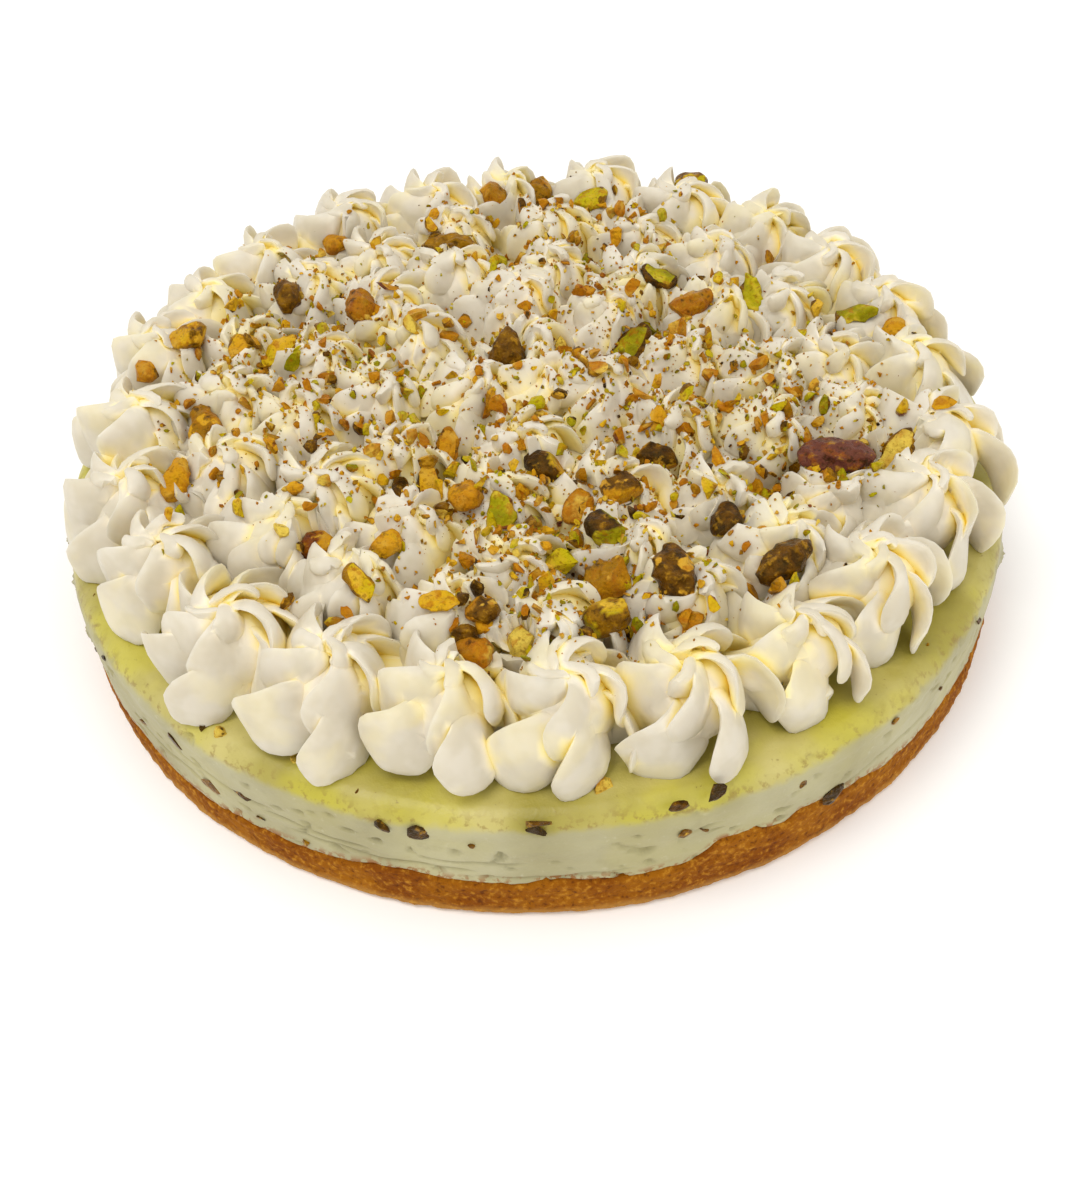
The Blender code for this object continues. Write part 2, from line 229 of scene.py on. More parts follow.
class Finish:
    """A material with one Principled shader, and the place on the object to write its pattern on."""

    def __init__(self, name, roughness, **constants):
        self.material = bpy.data.materials.new(name)
        self.material.use_nodes = True
        tree = self.material.node_tree
        self.shader = tree.nodes["Principled BSDF"]
        self.shader.inputs["Roughness"].default_value = roughness
        for socket, value in constants.items():
            self.shader.inputs[socket.replace("_", " ")].default_value = value
        self.start = Tone(tree, None)
        self.place = self.start.add("ShaderNodeTexCoord", {}, {}, 3)

    def height(self):
        """Height above the base in metres."""
        return self.start.add("ShaderNodeSeparateXYZ", {}, {0: self.place}, 2)

    def drawn(self, name):
        """A value stored on the mesh under a name."""
        return self.start.add("ShaderNodeAttribute", {"attribute_name": name}, {}, 2)

    def feed(self, socket, tone):
        self.start.tree.links.new(tone.socket, self.shader.inputs[socket])

    def raised(self, tone, depth, strength=1.0):
        """Fine relief: bright parts of the tone stand up by the depth."""
        values = {"Strength": strength, "Distance": depth, "Height": tone}
        self.feed("Normal", self.start.add("ShaderNodeBump", {}, values))


def baked_crumbs():
    finish = Finish("baked_crumbs", 0.85, Specular_IOR_Level=0.12)
    grains = finish.place.grain(700, 3, 0.6)
    patches = finish.place.grain(70, 2)
    pale = grains.between(0.50, 0.72)
    dark = 1 - grains.between(0.28, 0.46)
    foot = 1 - finish.height().between(0.0008, 0.0042)
    colour = patches.between(0.3, 0.7).blend(paint(126, 69, 5), paint(153, 94, 13))
    colour = (pale * 0.75).blend(colour, paint(192, 132, 42))
    colour = (dark * 0.75).blend(colour, paint(82, 40, 2))
    colour = (foot * 0.65).blend(colour, paint(194, 146, 76))
    finish.feed("Base Color", colour)
    finish.raised(grains + finish.place.grain(1800, 2) * 0.4, 0.0005)
    return finish.material


crust_rows = len(JOINT_RINGS) + CRUST_WALL_ROWS + len(CRUST_BASE_RINGS)
crust = revolved("crust_wall", crust_rows, SIDE_STEPS, crust_place)
crust.data.materials.append(baked_crumbs())
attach(crust, "root")
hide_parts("crust")


# The cheesecake: a set pistachio custard, pale green inside. Its side was freed with a knife, which
# left smears, small tears and level cracks, and its top baked to a moist yellow-green skin that
# rounds over the edge.
CHEESECAKE_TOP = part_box("filling")[1].z
SHOULDER = 0.0055
FILLING_EDGE = CAKE_RADIUS - 0.0006
SKIN_EDGE = 0.0295
# Level cracks low on the side: from and to in degrees, then height and depth in millimetres
CRACKS = (
    (217, 232, 15.5, 0.9), (224, 241, 20, 0.7), (238, 252, 18.5, 1.0), (241, 263, 16, 0.9),
    (256, 268, 19, 0.8), (262, 279, 14.5, 0.7), (283, 288, 23.5, 0.6), (300, 318, 17.5, 0.5),
    (20, 38, 18, 0.9), (60, 84, 16.5, 0.8), (110, 126, 20, 0.7), (150, 176, 17, 0.9),
)
# Torn tufts where the knife lifted the custard: azimuth in degrees, height and reach in millimetres
TUFTS = ((191, 26, 1.0), (196, 22, 1.2), (202, 17, 0.9), (341, 22, 0.8), (28, 22, 1.0), (133, 19, 1.1))
CRACK_WIDTH = 0.0004
PIT_DEPTH = 0.0014
PIT_START = 0.42
LAYER_GAP = 0.0003
TOP_DIP = 0.0004
FLAT_TOP_RADIUS = 0.070
TOP_ROWS = 8
FILLING_ROWS = 84
SHOULDER_ROWS = 12
WALL_START = TOP_ROWS + SHOULDER_ROWS
WALL_END = FILLING_ROWS - len(JOINT_RINGS)
CRUMBED_ROWS = 13


def knife_marks(azimuth, height):
    """How far the side stands out of round at a place."""
    spot = Vector((math.cos(azimuth), math.sin(azimuth), 0)) * CAKE_RADIUS
    smear = noise.noise(Vector((spot.x * 30, spot.y * 30, height * 260)))
    lump = noise.noise(Vector((spot.x * 90, spot.y * 90, height * 140)) + Vector((7, 0, 0)))
    fine = noise.noise(Vector((spot.x * 330, spot.y * 330, height * 500)))
    swell = noise.noise(spot * 28 + Vector((11, 0, 0)))
    relief = 0.0005 * swell + 0.00034 * smear + 0.00030 * lump + 0.00012 * fine
    degrees = math.degrees(azimuth) % 360
    for start, end, level, depth in CRACKS:
        if start < degrees < end:
            wave = 0.0011 * noise.noise(Vector((spot.x * 130, spot.y * 130, level)))
            away = abs(height - level / 1000 - wave) / CRACK_WIDTH
            ends = eased(degrees, start, start + 3) * eased(degrees, end, end - 3)
            relief -= depth / 1000 * ends * math.exp(-away * away)
    for middle, level, reach in TUFTS:
        away = math.hypot((degrees - middle) / 1.7, (height * 1000 - level) / 2.2)
        ragged = 1 + noise.noise(Vector((degrees * 2.1, height * 2200, middle)))
        relief += reach / 1000 * ragged * math.exp(-away * away)
    pit = noise.noise(Vector((spot.x * 330, spot.y * 330, height * 430)) + Vector((0, 19, 0)))
    return relief - PIT_DEPTH * max(pit - PIT_START, 0) / 0.3


def filling_place(row, azimuth):
    """Rows run from the middle of the top out over the shoulder, down the side and in under it."""
    outward = Vector((math.cos(azimuth), math.sin(azimuth), 0))
    corner = CHEESECAKE_TOP - SHOULDER
    line = crust_line(azimuth) + LAYER_GAP
    if row < TOP_ROWS:
        radius = FLAT_TOP_RADIUS + (FILLING_EDGE - SHOULDER - FLAT_TOP_RADIUS) * row / TOP_ROWS
        spot = outward * radius
        swell = 0.0004 * noise.noise(spot * 45) + 0.00012 * noise.noise(spot * 210)
        return spot + Vector((0, 0, CHEESECAKE_TOP - TOP_DIP + swell * eased(radius, 0.08, 0.10)))
    if row < WALL_START:
        share = (row - TOP_ROWS + 1) / SHOULDER_ROWS
        turn = math.radians(90 - 90 * share)
        radius = FILLING_EDGE - SHOULDER * (1 - math.cos(turn))
        height = corner + SHOULDER * math.sin(turn) - TOP_DIP
        swell = 0.0004 * noise.noise(outward * radius * 45) * (1 - share)
        return outward * (radius + share * knife_marks(azimuth, height)) + Vector((0, 0, height + swell))
    if row < WALL_END:
        share = (row - WALL_START + 1) / (WALL_END - WALL_START)
        height = corner - TOP_DIP + (line - corner + TOP_DIP) * share
        return outward * (FILLING_EDGE + knife_marks(azimuth, height)) + Vector((0, 0, height))
    return joint_place(FILLING_ROWS - 1 - row, outward, line)


def stored(mesh, name, domain, values):
    layer = mesh.attributes.new(name, "FLOAT", domain)
    layer.data.foreach_set("value", values)


def set_custard():
    finish = Finish("set_custard", 0.42)
    mottle = finish.place.grain(120, 4, 0.6)
    clouds = finish.place.grain(38, 3)
    specks = finish.place.grain(520, 3, 0.65)
    ripe = finish.place.grain(48, 3).between(0.44, 0.64)
    height = finish.height() + (mottle - 0.5) * 0.004
    skin = height.between(SKIN_EDGE - 0.0012, SKIN_EDGE + 0.0007)
    foot = finish.drawn("foot")
    border = skin * (1 - height.between(SKIN_EDGE - 0.001, SKIN_EDGE + 0.0035))
    side = clouds.between(0.3, 0.7).blend(paint(153, 145, 104), paint(176, 170, 133))
    side = (mottle.between(0.55, 0.75) * 0.5).blend(side, paint(140, 133, 98))
    side = (specks.between(0.62, 0.74) * 0.35).blend(side, paint(192, 187, 158))
    side = (ripe * 0.3).blend(side, paint(176, 167, 106))
    side = (foot * specks.between(0.48, 0.56)).blend(side, paint(138, 86, 20))
    top = clouds.between(0.32, 0.68).blend(paint(152, 140, 52), paint(192, 180, 108))
    top = (ripe * 0.70).blend(top, paint(188, 178, 54))
    top = (mottle.between(0.56, 0.78) * 0.4).blend(top, paint(140, 120, 46))
    top = (specks.between(0.66, 0.75) * 0.6).blend(top, paint(116, 94, 34))
    top = (border * specks.between(0.5, 0.62) * 0.8).blend(top, paint(132, 104, 44))
    finish.feed("Base Color", skin.blend(side, top))
    finish.feed("Roughness", 0.52 - skin * 0.12)
    finish.raised(specks * 0.6 + mottle * 0.4, 0.0004, 0.7)
    return finish.material


filling = revolved("cheesecake_layer", FILLING_ROWS, SIDE_STEPS, filling_place)
side_points = range(len(filling.data.vertices))
crumbed = [eased(point // SIDE_STEPS, WALL_END - CRUMBED_ROWS, WALL_END) for point in side_points]
stored(filling.data, "foot", "POINT", crumbed)
filling.data.materials.append(set_custard())
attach(filling, "root")
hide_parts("filling")


# The nuts baked into the cheesecake: chopped pistachios that show where the knife cut through them
# and where they press up under the skin. Like the nuts on top they have brown to purple skin over
# flesh that runs from green to gold and orange-brown.

# Bits in the side: azimuth in degrees, height and size in millimetres, then the look, which is the
# skin from near-black 0 over brown to purple 1, the flesh from green 0 over gold and orange-brown to
# pale yellow 1, and how bare of skin the bit is
SIDE_BITS = (
    (236, 20, 6.5, 0.05, 0.05, 0.2), (231, 16, 4, 0.3, 0.6, 0.3), (226.5, 24, 3.5, 0.1, 0.1, 0.3),
    (253.5, 28.5, 3.2, 0.0, 0.3, 0.0), (256.5, 28, 4.2, 0.0, 0.1, 0.1), (269, 33.5, 4.5, 0.1, 0.7, 0.3),
    (268.5, 30.5, 3.5, 0.0, 0.5, 0.0), (283, 24, 2.4, 0.3, 0.7, 0.2), (285.2, 23, 1.8, 0.2, 0.7, 0.2),
    (286, 35, 4.5, 0.0, 0.3, 0.1), (282, 34, 4, 0.1, 0.6, 0.2), (301, 15.8, 5, 0.0, 0.4, 0.1),
    (243.5, 13.5, 2.5, 0.4, 0.7, 0.3), (238, 14.5, 2, 0.0, 0.3, 0.0), (262, 25, 1.6, 0.2, 0.4, 0.3),
    (219, 18, 2.6, 0.1, 0.2, 0.2), (212, 27, 2.2, 0.0, 0.2, 0.1), (208, 22, 1.8, 0.1, 0.5, 0.2),
    (296, 26, 2, 0.3, 0.7, 0.3), (309, 27.5, 2.2, 0.4, 0.7, 0.4), (318, 22, 1.8, 0.1, 0.3, 0.2),
    (327, 27, 2.4, 0.1, 0.5, 0.2), (338, 19, 2, 0.1, 0.2, 0.2), (348, 26, 2.8, 0.2, 0.6, 0.2),
    (6, 21, 3, 0.1, 0.2, 0.2), (17, 27, 2.2, 0.3, 0.6, 0.2), (33, 23, 4.2, 0.05, 0.1, 0.2),
    (48, 19, 2, 0.3, 0.6, 0.3), (61, 26, 3, 0.1, 0.4, 0.1), (77, 22, 2.2, 0.2, 0.2, 0.3),
    (92, 18, 4.5, 0.1, 0.1, 0.2), (104, 27, 2.5, 0.2, 0.6, 0.2), (121, 24, 2, 0.1, 0.3, 0.2),
    (138, 20, 3.4, 0.05, 0.5, 0.1), (151, 26, 2.2, 0.3, 0.7, 0.3), (169, 23, 3, 0.1, 0.2, 0.2),
    (183, 19, 2.2, 0.2, 0.5, 0.2), (194, 27, 2.6, 0.1, 0.3, 0.1),
)
# Bits that press up through the edge of the top: azimuth in degrees, then reach, height and size in
# millimetres, and the look
TOP_BITS = (
    (230.7, 110.6, 32.6, 6, 0.15, 0.3, 0.1), (233.2, 110.2, 32.8, 4.5, 0.1, 1.0, 0.9),
    (262.7, 110, 32, 3.4, 0.55, 0.9, 1.0), (275.6, 107, 32.7, 4.4, 0.4, 0.95, 1.0),
    (242, 108, 32.6, 3, 0.5, 0.95, 0.9), (300, 110.5, 31.5, 3.2, 0.4, 0.8, 0.7),
    (318, 109.5, 32, 2.6, 0.4, 0.6, 0.4), (205, 110.5, 31.5, 3, 0.2, 0.4, 0.3),
    (213, 109.5, 32, 2.4, 0.5, 0.8, 0.8), (250, 110, 32, 2.2, 0.3, 0.5, 0.3),
    (20, 109.5, 32, 3, 0.3, 0.5, 0.3), (71, 110, 31.8, 3.4, 0.1, 0.3, 0.2),
    (118, 109, 32.2, 2.8, 0.5, 0.8, 0.7), (163, 110, 31.8, 3, 0.2, 0.6, 0.3),
)
# How far a side bit stands out of the side, and how far a top bit is pressed in, as shares of its size
SIDE_BIT_PROUD = 0.01
TOP_BIT_SINK = 0.08
# A bit of nut starts as a ball: how many knife cuts it has, how far from its middle they pass, and how
# much it is enlarged to make up for them, all for a ball one unit across
NUT_CUTS = 4
CUT_AWAY = 0.15
CUT_GROWTH = 1.15


def pistachio():
    """One finish for every nut: stored values choose each one's skin, flesh, bare part and cut faces."""
    finish = Finish("pistachio_nut", 0.38, Specular_IOR_Level=0.3, Specular_Tint=(1, 0.7, 0.25, 1))
    wrinkles = finish.place.grain(400, 4, 0.65)
    patches = finish.place.grain(210, 3)
    fine = finish.place.grain(900, 3, 0.6)
    streaks = finish.place.grain(330, 3, 0.6)
    skins = (
        (0.0, paint(46, 30, 2)), (0.2, paint(92, 58, 2)), (0.45, paint(142, 100, 8)),
        (0.7, paint(156, 96, 12)), (0.85, paint(126, 64, 20)), (1.0, paint(98, 54, 48)),
    )
    fleshes = (
        (0.0, paint(128, 122, 4)), (0.2, paint(178, 164, 14)), (0.45, paint(206, 160, 28)),
        (0.6, paint(196, 140, 24)), (0.8, paint(166, 100, 14)), (1.0, paint(214, 186, 78)),
    )
    skin = (finish.drawn("skin") + (streaks - 0.5) * 0.8).ramp(skins)
    # The skin is paler on the wrinkle ridges, partly its own tone and partly painted glints, and darker in
    # the furrows.
    skin = (wrinkles.between(0.54, 0.68) * 0.55).blend(skin, paint(184, 134, 34))
    skin = ((1 - wrinkles.between(0.34, 0.48)) * 0.8).blend(skin, paint(40, 20, 2))
    flesh = (finish.drawn("flesh") + (patches - 0.5) * 0.7).ramp(fleshes)
    flesh = (patches.between(0.5, 0.68) * 0.45).blend(flesh, paint(218, 182, 72))
    flesh = ((1 - fine.between(0.34, 0.47)) * 0.55).blend(flesh, paint(120, 78, 6))
    flesh = (streaks.between(0.54, 0.64) * 0.55).blend(flesh, paint(160, 90, 10))
    bare = ((patches - 0.5) * 2.2 + finish.drawn("bare")).between(0.62, 0.72)
    shown = bare.math("MAXIMUM", bare, finish.drawn("cut") + finish.drawn("broken") * 0.9)
    finish.feed("Base Color", shown.blend(skin, flesh))
    finish.feed("Roughness", 0.30 + shown * 0.22)
    finish.raised(wrinkles + fine * 0.35, 0.0011)
    return finish.material


NUT_FINISH = pistachio()


def random_way(draw):
    """A direction by chance, all of them alike."""
    return Vector((draw.gauss(0, 1), draw.gauss(0, 1), draw.gauss(0, 1))).normalized()


def chopped(name, placed, subdivisions, seed, cut_shown=1.0):
    """One mesh of many bits of nut, each with its own cuts: placed holds (matrix, size, look).

    cut_shown is 1 where cut faces show bare flesh, and 0 where they look like the rest.
    """
    draw = random.Random(seed)
    pattern = bmesh.new()
    bmesh.ops.create_icosphere(pattern, subdivisions=subdivisions, radius=0.5)
    corners = [vertex.co.copy() for vertex in pattern.verts]
    triangles = [tuple(vertex.index for vertex in face.verts) for face in pattern.faces]
    pattern.free()
    points, faces, cut_faces = [], [], []
    looks = ([], [], [])
    for matrix, size, look in placed:
        start = len(points)
        cuts = [random_way(draw) for number in range(NUT_CUTS)]
        flat = set()
        for index, corner in enumerate(corners):
            spot = corner * draw.uniform(0.85, 1.12)
            for cut in cuts:
                over = spot.dot(cut) - CUT_AWAY
                if over > 0:
                    spot = spot - cut * over
                    flat.add(index)
            points.append(matrix @ (spot * size * CUT_GROWTH))
        for values, value in zip(looks, look):
            values += [value] * len(corners)
        for triangle in triangles:
            faces.append(tuple(start + index for index in triangle))
            cut_faces.append(cut_shown * all(index in flat for index in triangle))
    mesh = bpy.data.meshes.new(name)
    mesh.from_pydata(points, [], faces)
    mesh.materials.append(NUT_FINISH)
    for attribute, values in zip(("skin", "flesh", "bare"), looks):
        stored(mesh, attribute, "POINT", values)
    stored(mesh, "cut", "FACE", cut_faces)
    piece = bpy.data.objects.new(name, mesh)
    bpy.context.scene.collection.objects.link(piece)
    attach(piece, "root")
    return piece


def any_turn(draw):
    """A random turn with a random flattening."""
    turn = Euler((draw.uniform(0, 6), draw.uniform(0, 6), draw.uniform(0, 6))).to_matrix().to_4x4()
    return turn @ Matrix.Diagonal((1, draw.uniform(0.5, 0.85), draw.uniform(0.45, 0.8), 1))


side_draw = random.Random(31)
baked_in = []
for degrees, height, size, *look in SIDE_BITS:
    azimuth = math.radians(degrees)
    reach = FILLING_EDGE + knife_marks(azimuth, height / 1000) + SIDE_BIT_PROUD * size / 1000
    spot = Vector((reach * math.cos(azimuth), reach * math.sin(azimuth), height / 1000))
    slanted = Matrix.Rotation(azimuth, 4, "Z") @ Matrix.Rotation(side_draw.uniform(-0.7, 0.7), 4, "X")
    sliced = Matrix.Diagonal((0.45, 1.25, side_draw.uniform(0.7, 1.05), 1))
    baked_in.append((Matrix.Translation(spot) @ slanted @ sliced, size / 1000, look))
for degrees, reach, height, size, *look in TOP_BITS:
    azimuth = math.radians(degrees)
    level = height - TOP_BIT_SINK * size
    spot = Vector((reach * math.cos(azimuth), reach * math.sin(azimuth), level)) / 1000
    baked_in.append((Matrix.Translation(spot) @ any_turn(side_draw), size / 1000, look))
chopped("baked_in_nuts", baked_in, 2, 32, cut_shown=0)


# The piped cream: whipped cream from a large star nozzle, in five rings of rosettes round one in the
# middle, all leaning on each other. Each rosette is a soft core with three tiers of flat petals that
# turn as they rise, the third small curls at the peak. It is white on the open rims. Its colour is
# painted lighter where it lies in shade, as painted bounce light, and painted yellow in the creases,
# as painted glow of light through the cream.
CREAM_CENTRE = Vector((0.0, -0.0005, 0))
CREAM_BASE = 0.0333
CREAM_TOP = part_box("cream")[1].z
BED_RADIUS = 0.096
BED_HEIGHT = 0.0085
ROSETTE_RADIUS = 0.0151
ROSETTE_HEIGHT = 0.0222
ROSETTE_PITCH = 0.0246
OUTER_ROW_RADIUS = 0.0936
ROW_SPACING = 0.0190
ROW_COUNT = 6
OUTER_ROW_PHASE = math.radians(-88)
ROSETTE_SEED = 41
PETAL_SEED = 5
KERNEL_NAMES = sorted(name for name in frame["nodes"] if name.startswith("kernel_"))
# The dent that a large kernel makes: how far round it the cream gives way, how close it lies to the
# kernel, and the level it is pressed down to, as a share of the kernel's height
KERNEL_REACH = 0.0040
KERNEL_TOUCH = 0.0006
KERNEL_LEVEL = 0.32
# Petals of the rim that rolled up into short tubes: the azimuth of the mouth in degrees, then its
# reach, its height over the base of the cream, its radius and the tube's length in millimetres
CURLS = (
    (260.8, 107.8, 2.6, 3.3, 8), (247.4, 105.8, 3.2, 3.1, 7), (231.7, 103.4, 3.6, 3.7, 9),
    (302, 106, 3.0, 2.9, 7), (196, 106.5, 3.4, 3.2, 8), (38, 106, 3.2, 3.1, 8), (128, 106, 3.0, 3.4, 8),
)
CURL_SIDES = 18
# Along and across a curl, from its closed end over its lip into the mouth: places along it are shares
# of its length in the first two pairs and millimetres from the mouth in the rest
CURL_BODY = ((-1, 0.75), (-0.5, 0.95))
CURL_LIP = ((-0.4, 1.04), (0, 0.96), (0.1, 0.86), (-0.5, 0.66), (-0.9, 0.3))
# Tiers of petals: how many, half width and half thickness as shares of the rosette's radius, how far
# they stray, where they start round the rosette and how far they turn as shares of its twist, how many
# steps long they are, then how far out and how high a petal's middle runs from its root to its tip
RIM_TIERS = (
    {
        "count": 6, "width": 0.52, "thick": 0.085, "stray": 0.16, "phase": 0, "swirl": 0.9, "steps": 17,
        "reach": ((0, 0.15), (0.35, 0.60), (0.7, 0.96), (1, 1.13)),
        "rise": ((0, 0.66), (0.35, 0.58), (0.7, 0.32), (1, 0.03)),
    },
    {
        "count": 5, "width": 0.43, "thick": 0.075, "stray": 0.22, "phase": 0.7, "swirl": 1.1, "steps": 15,
        "reach": ((0, 0.04), (0.35, 0.36), (0.7, 0.68), (1, 0.88)),
        "rise": ((0, 0.92), (0.35, 0.90), (0.7, 0.72), (1, 0.48)),
    },
    {
        "count": 3, "width": 0.27, "thick": 0.085, "stray": 0.4, "phase": 1.5, "swirl": 1.6, "steps": 12,
        "reach": ((0, 0.02), (0.35, 0.14), (0.7, 0.32), (1, 0.46)),
        "rise": ((0, 0.84), (0.35, 0.97), (0.7, 0.97), (1, 0.84)),
    },
)
MIDDLE_TIERS = (
    {
        "count": 7, "width": 0.35, "thick": 0.075, "stray": 0.35, "phase": 0, "swirl": 0.8, "steps": 14,
        "reach": ((0, 0.15), (0.35, 0.55), (0.7, 0.84), (1, 1.00)),
        "rise": ((0, 0.66), (0.35, 0.66), (0.7, 0.52), (1, 0.28)),
    },
    {
        "count": 6, "width": 0.30, "thick": 0.075, "stray": 0.45, "phase": 0.7, "swirl": 1.0, "steps": 13,
        "reach": ((0, 0.08), (0.35, 0.34), (0.7, 0.62), (1, 0.80)),
        "rise": ((0, 0.80), (0.35, 0.86), (0.7, 0.76), (1, 0.60)),
    },
    {
        "count": 4, "width": 0.23, "thick": 0.085, "stray": 0.7, "phase": 1.5, "swirl": 1.2, "steps": 12,
        "reach": ((0, 0.05), (0.35, 0.18), (0.7, 0.38), (1, 0.50)),
        "rise": ((0, 0.80), (0.35, 0.95), (0.7, 0.97), (1, 0.84)),
    },
)
# Shares of a petal's length: where it is widest, and where the rounding of its ends begins
PETAL_WIDEST = 0.66
PETAL_END = 0.88
# The slow wobble of the cream: how far it moves a point, and three patches of noise for its three ways
WOBBLE = 0.0011
WOBBLE_PLACES = (Vector((0, 0, 0)), Vector((31, 0, 0)), Vector((0, 47, 0)))
CREAM_SINK = 0.0006
PEAK_ROOM = 0.004
OPENNESS_REACH = 0.009
OPENNESS_RAYS = 8
RAY_START = 0.0002


def rosette_places():
    """Every rosette, row by row from the rim in: place, radius, height, first lobe, twist, row."""
    draw = random.Random(ROSETTE_SEED)
    places = []
    for row in range(ROW_COUNT):
        row_radius = max(OUTER_ROW_RADIUS - row * ROW_SPACING, 0)
        count = max(round(math.tau * row_radius / ROSETTE_PITCH), 1)
        phase = OUTER_ROW_PHASE + row * 0.37
        for number in range(count):
            azimuth = phase + math.tau * number / count + draw.uniform(-0.02, 0.02)
            reach = row_radius + draw.uniform(-0.0012, 0.0012)
            centre = CREAM_CENTRE + Vector((math.cos(azimuth), math.sin(azimuth), 0)) * reach
            radius = ROSETTE_RADIUS * draw.uniform(0.94, 1.06)
            height = ROSETTE_HEIGHT * draw.uniform(0.88, 1.04)
            first_lobe = draw.uniform(0, math.tau)
            twist = math.radians(draw.uniform(45, 75))
            places.append((centre, radius, height, first_lobe, twist, row))
    return places


def through(stops, share):
    """A smooth curve through (share, value) stops."""
    last = len(stops) - 2
    index = next((number for number in range(last) if share <= stops[number + 1][0]), last)
    (start, low), (end, high) = stops[index], stops[index + 1]
    before, after = stops[max(index - 1, 0)], stops[min(index + 2, len(stops) - 1)]
    span = end - start
    slope_in = (high - before[1]) / (end - before[0]) * span
    slope_out = (after[1] - low) / (after[0] - start) * span
    part = (share - start) / span
    cube, square = part ** 3, part ** 2
    curve = (2 * cube - 3 * square + 1) * low + (cube - 2 * square + part) * slope_in
    return curve + (3 * square - 2 * cube) * high + (cube - square) * slope_out


def rounded_end(share, start):
    """1 up to the start, then down to 0 along a quarter circle."""
    return math.sqrt(max(1 - max((share - start) / (1 - start), 0) ** 2, 0))


def linked(name, shape, collection):
    mesh = bpy.data.meshes.new(name)
    shape.to_mesh(mesh)
    shape.free()
    piece = bpy.data.objects.new(name, mesh)
    collection.objects.link(piece)
    return piece


def pipe_petal(rosette, tier, azimuth, draw, collection):
    """One petal: a thin, banked blade of cream from the rosette's middle out to a round or pointed tip."""
    lean, radius, height, twist = rosette
    swirl = tier["swirl"] * twist
    reach = draw.uniform(1 - tier["stray"] / 2, 1.05)
    width = tier["width"] * radius * draw.uniform(0.82, 1.15)
    thick = tier["thick"] * radius * draw.uniform(0.85, 1.2)
    droop = draw.uniform(-0.06, 0.06)
    bank = math.radians(draw.uniform(28, 52))
    cup = draw.uniform(-0.12, 0.20)
    blunt = draw.choice((0.5, 0.5, 0.62, 0.9))
    shift = Vector((draw.uniform(-1, 1), draw.uniform(-1, 1), 0)) * tier["stray"] * 0.18 * radius

    def middle(share):
        turn = azimuth + swirl * (1 - share)
        out = radius * reach * through(tier["reach"], share)
        rise = height * (through(tier["rise"], share) + droop * share)
        return Vector((out * math.cos(turn), out * math.sin(turn), rise)) + shift

    sides = tier["steps"] - 1
    shape = bmesh.new()
    rings = []
    for step in range(1, tier["steps"]):
        share = 0.5 - 0.5 * math.cos(math.pi * step / tier["steps"])
        turn = azimuth + swirl * (1 - share)
        along = (middle(min(share + 0.02, 1)) - middle(max(share - 0.02, 0))).normalized()
        upward = 0.9 * min(2 - 2 * share, 1)
        face = Vector((math.cos(turn), math.sin(turn), upward)).normalized()
        across = along.cross(face).normalized()
        face = across.cross(along).normalized()
        tilt = bank * (0.3 + 0.7 * math.sin(math.pi * share))
        side = across * math.cos(tilt) + face * math.sin(tilt)
        front = face * math.cos(tilt) - across * math.sin(tilt)
        root = rounded_end(1 - share, PETAL_END)
        point = rounded_end(share, PETAL_WIDEST) ** (2 * blunt)
        half_width = width * (0.30 + 0.70 * eased(share, 0, PETAL_WIDEST)) * root * point
        half_thick = thick * (0.75 + 0.25 * min(share / 0.6, 1)) * root * rounded_end(share, PETAL_END)
        ring = []
        for corner in range(sides):
            angle = math.tau * corner / sides
            sag = cup * half_width * math.cos(angle) ** 2
            offset = side * half_width * math.cos(angle) + front * (half_thick * math.sin(angle) - sag)
            ring.append(shape.verts.new(middle(share) + offset))
        rings.append(ring)
    root, tip = shape.verts.new(middle(0)), shape.verts.new(middle(1))
    for inner, outer in zip(rings, rings[1:]):
        for corner in range(sides):
            after = (corner + 1) % sides
            shape.faces.new((inner[corner], inner[after], outer[after], outer[corner]))
    for corner in range(sides):
        after = (corner + 1) % sides
        shape.faces.new((rings[0][after], rings[0][corner], root))
        shape.faces.new((rings[-1][corner], rings[-1][after], tip))
    bmesh.ops.recalc_face_normals(shape, faces=shape.faces)
    shape.transform(lean)
    linked("petal", shape, collection)


def pipe_rosette(place, draw, collection):
    centre, radius, height, first_lobe, twist, row = place
    loose = 0.12 if row == 0 else 0.2
    tilt = Euler((draw.uniform(-loose, loose), draw.uniform(-loose, loose), 0)).to_matrix().to_4x4()
    lean = Matrix.Translation(centre + Vector((0, 0, CREAM_BASE))) @ tilt
    shape = bmesh.new()
    bmesh.ops.create_uvsphere(shape, u_segments=20, v_segments=12, radius=1)
    core = Matrix.Diagonal((0.70 * radius, 0.70 * radius, 0.46 * height, 1))
    shape.transform(lean @ Matrix.Translation((0, 0, 0.42 * height)) @ core)
    linked("core", shape, collection)
    for tier in RIM_TIERS if row == 0 else MIDDLE_TIERS:
        for number in range(tier["count"]):
            azimuth = first_lobe + tier["phase"] * twist + math.tau * number / tier["count"]
            azimuth += draw.uniform(-tier["stray"], tier["stray"])
            pipe_petal((lean, radius, height, twist), tier, azimuth, draw, collection)


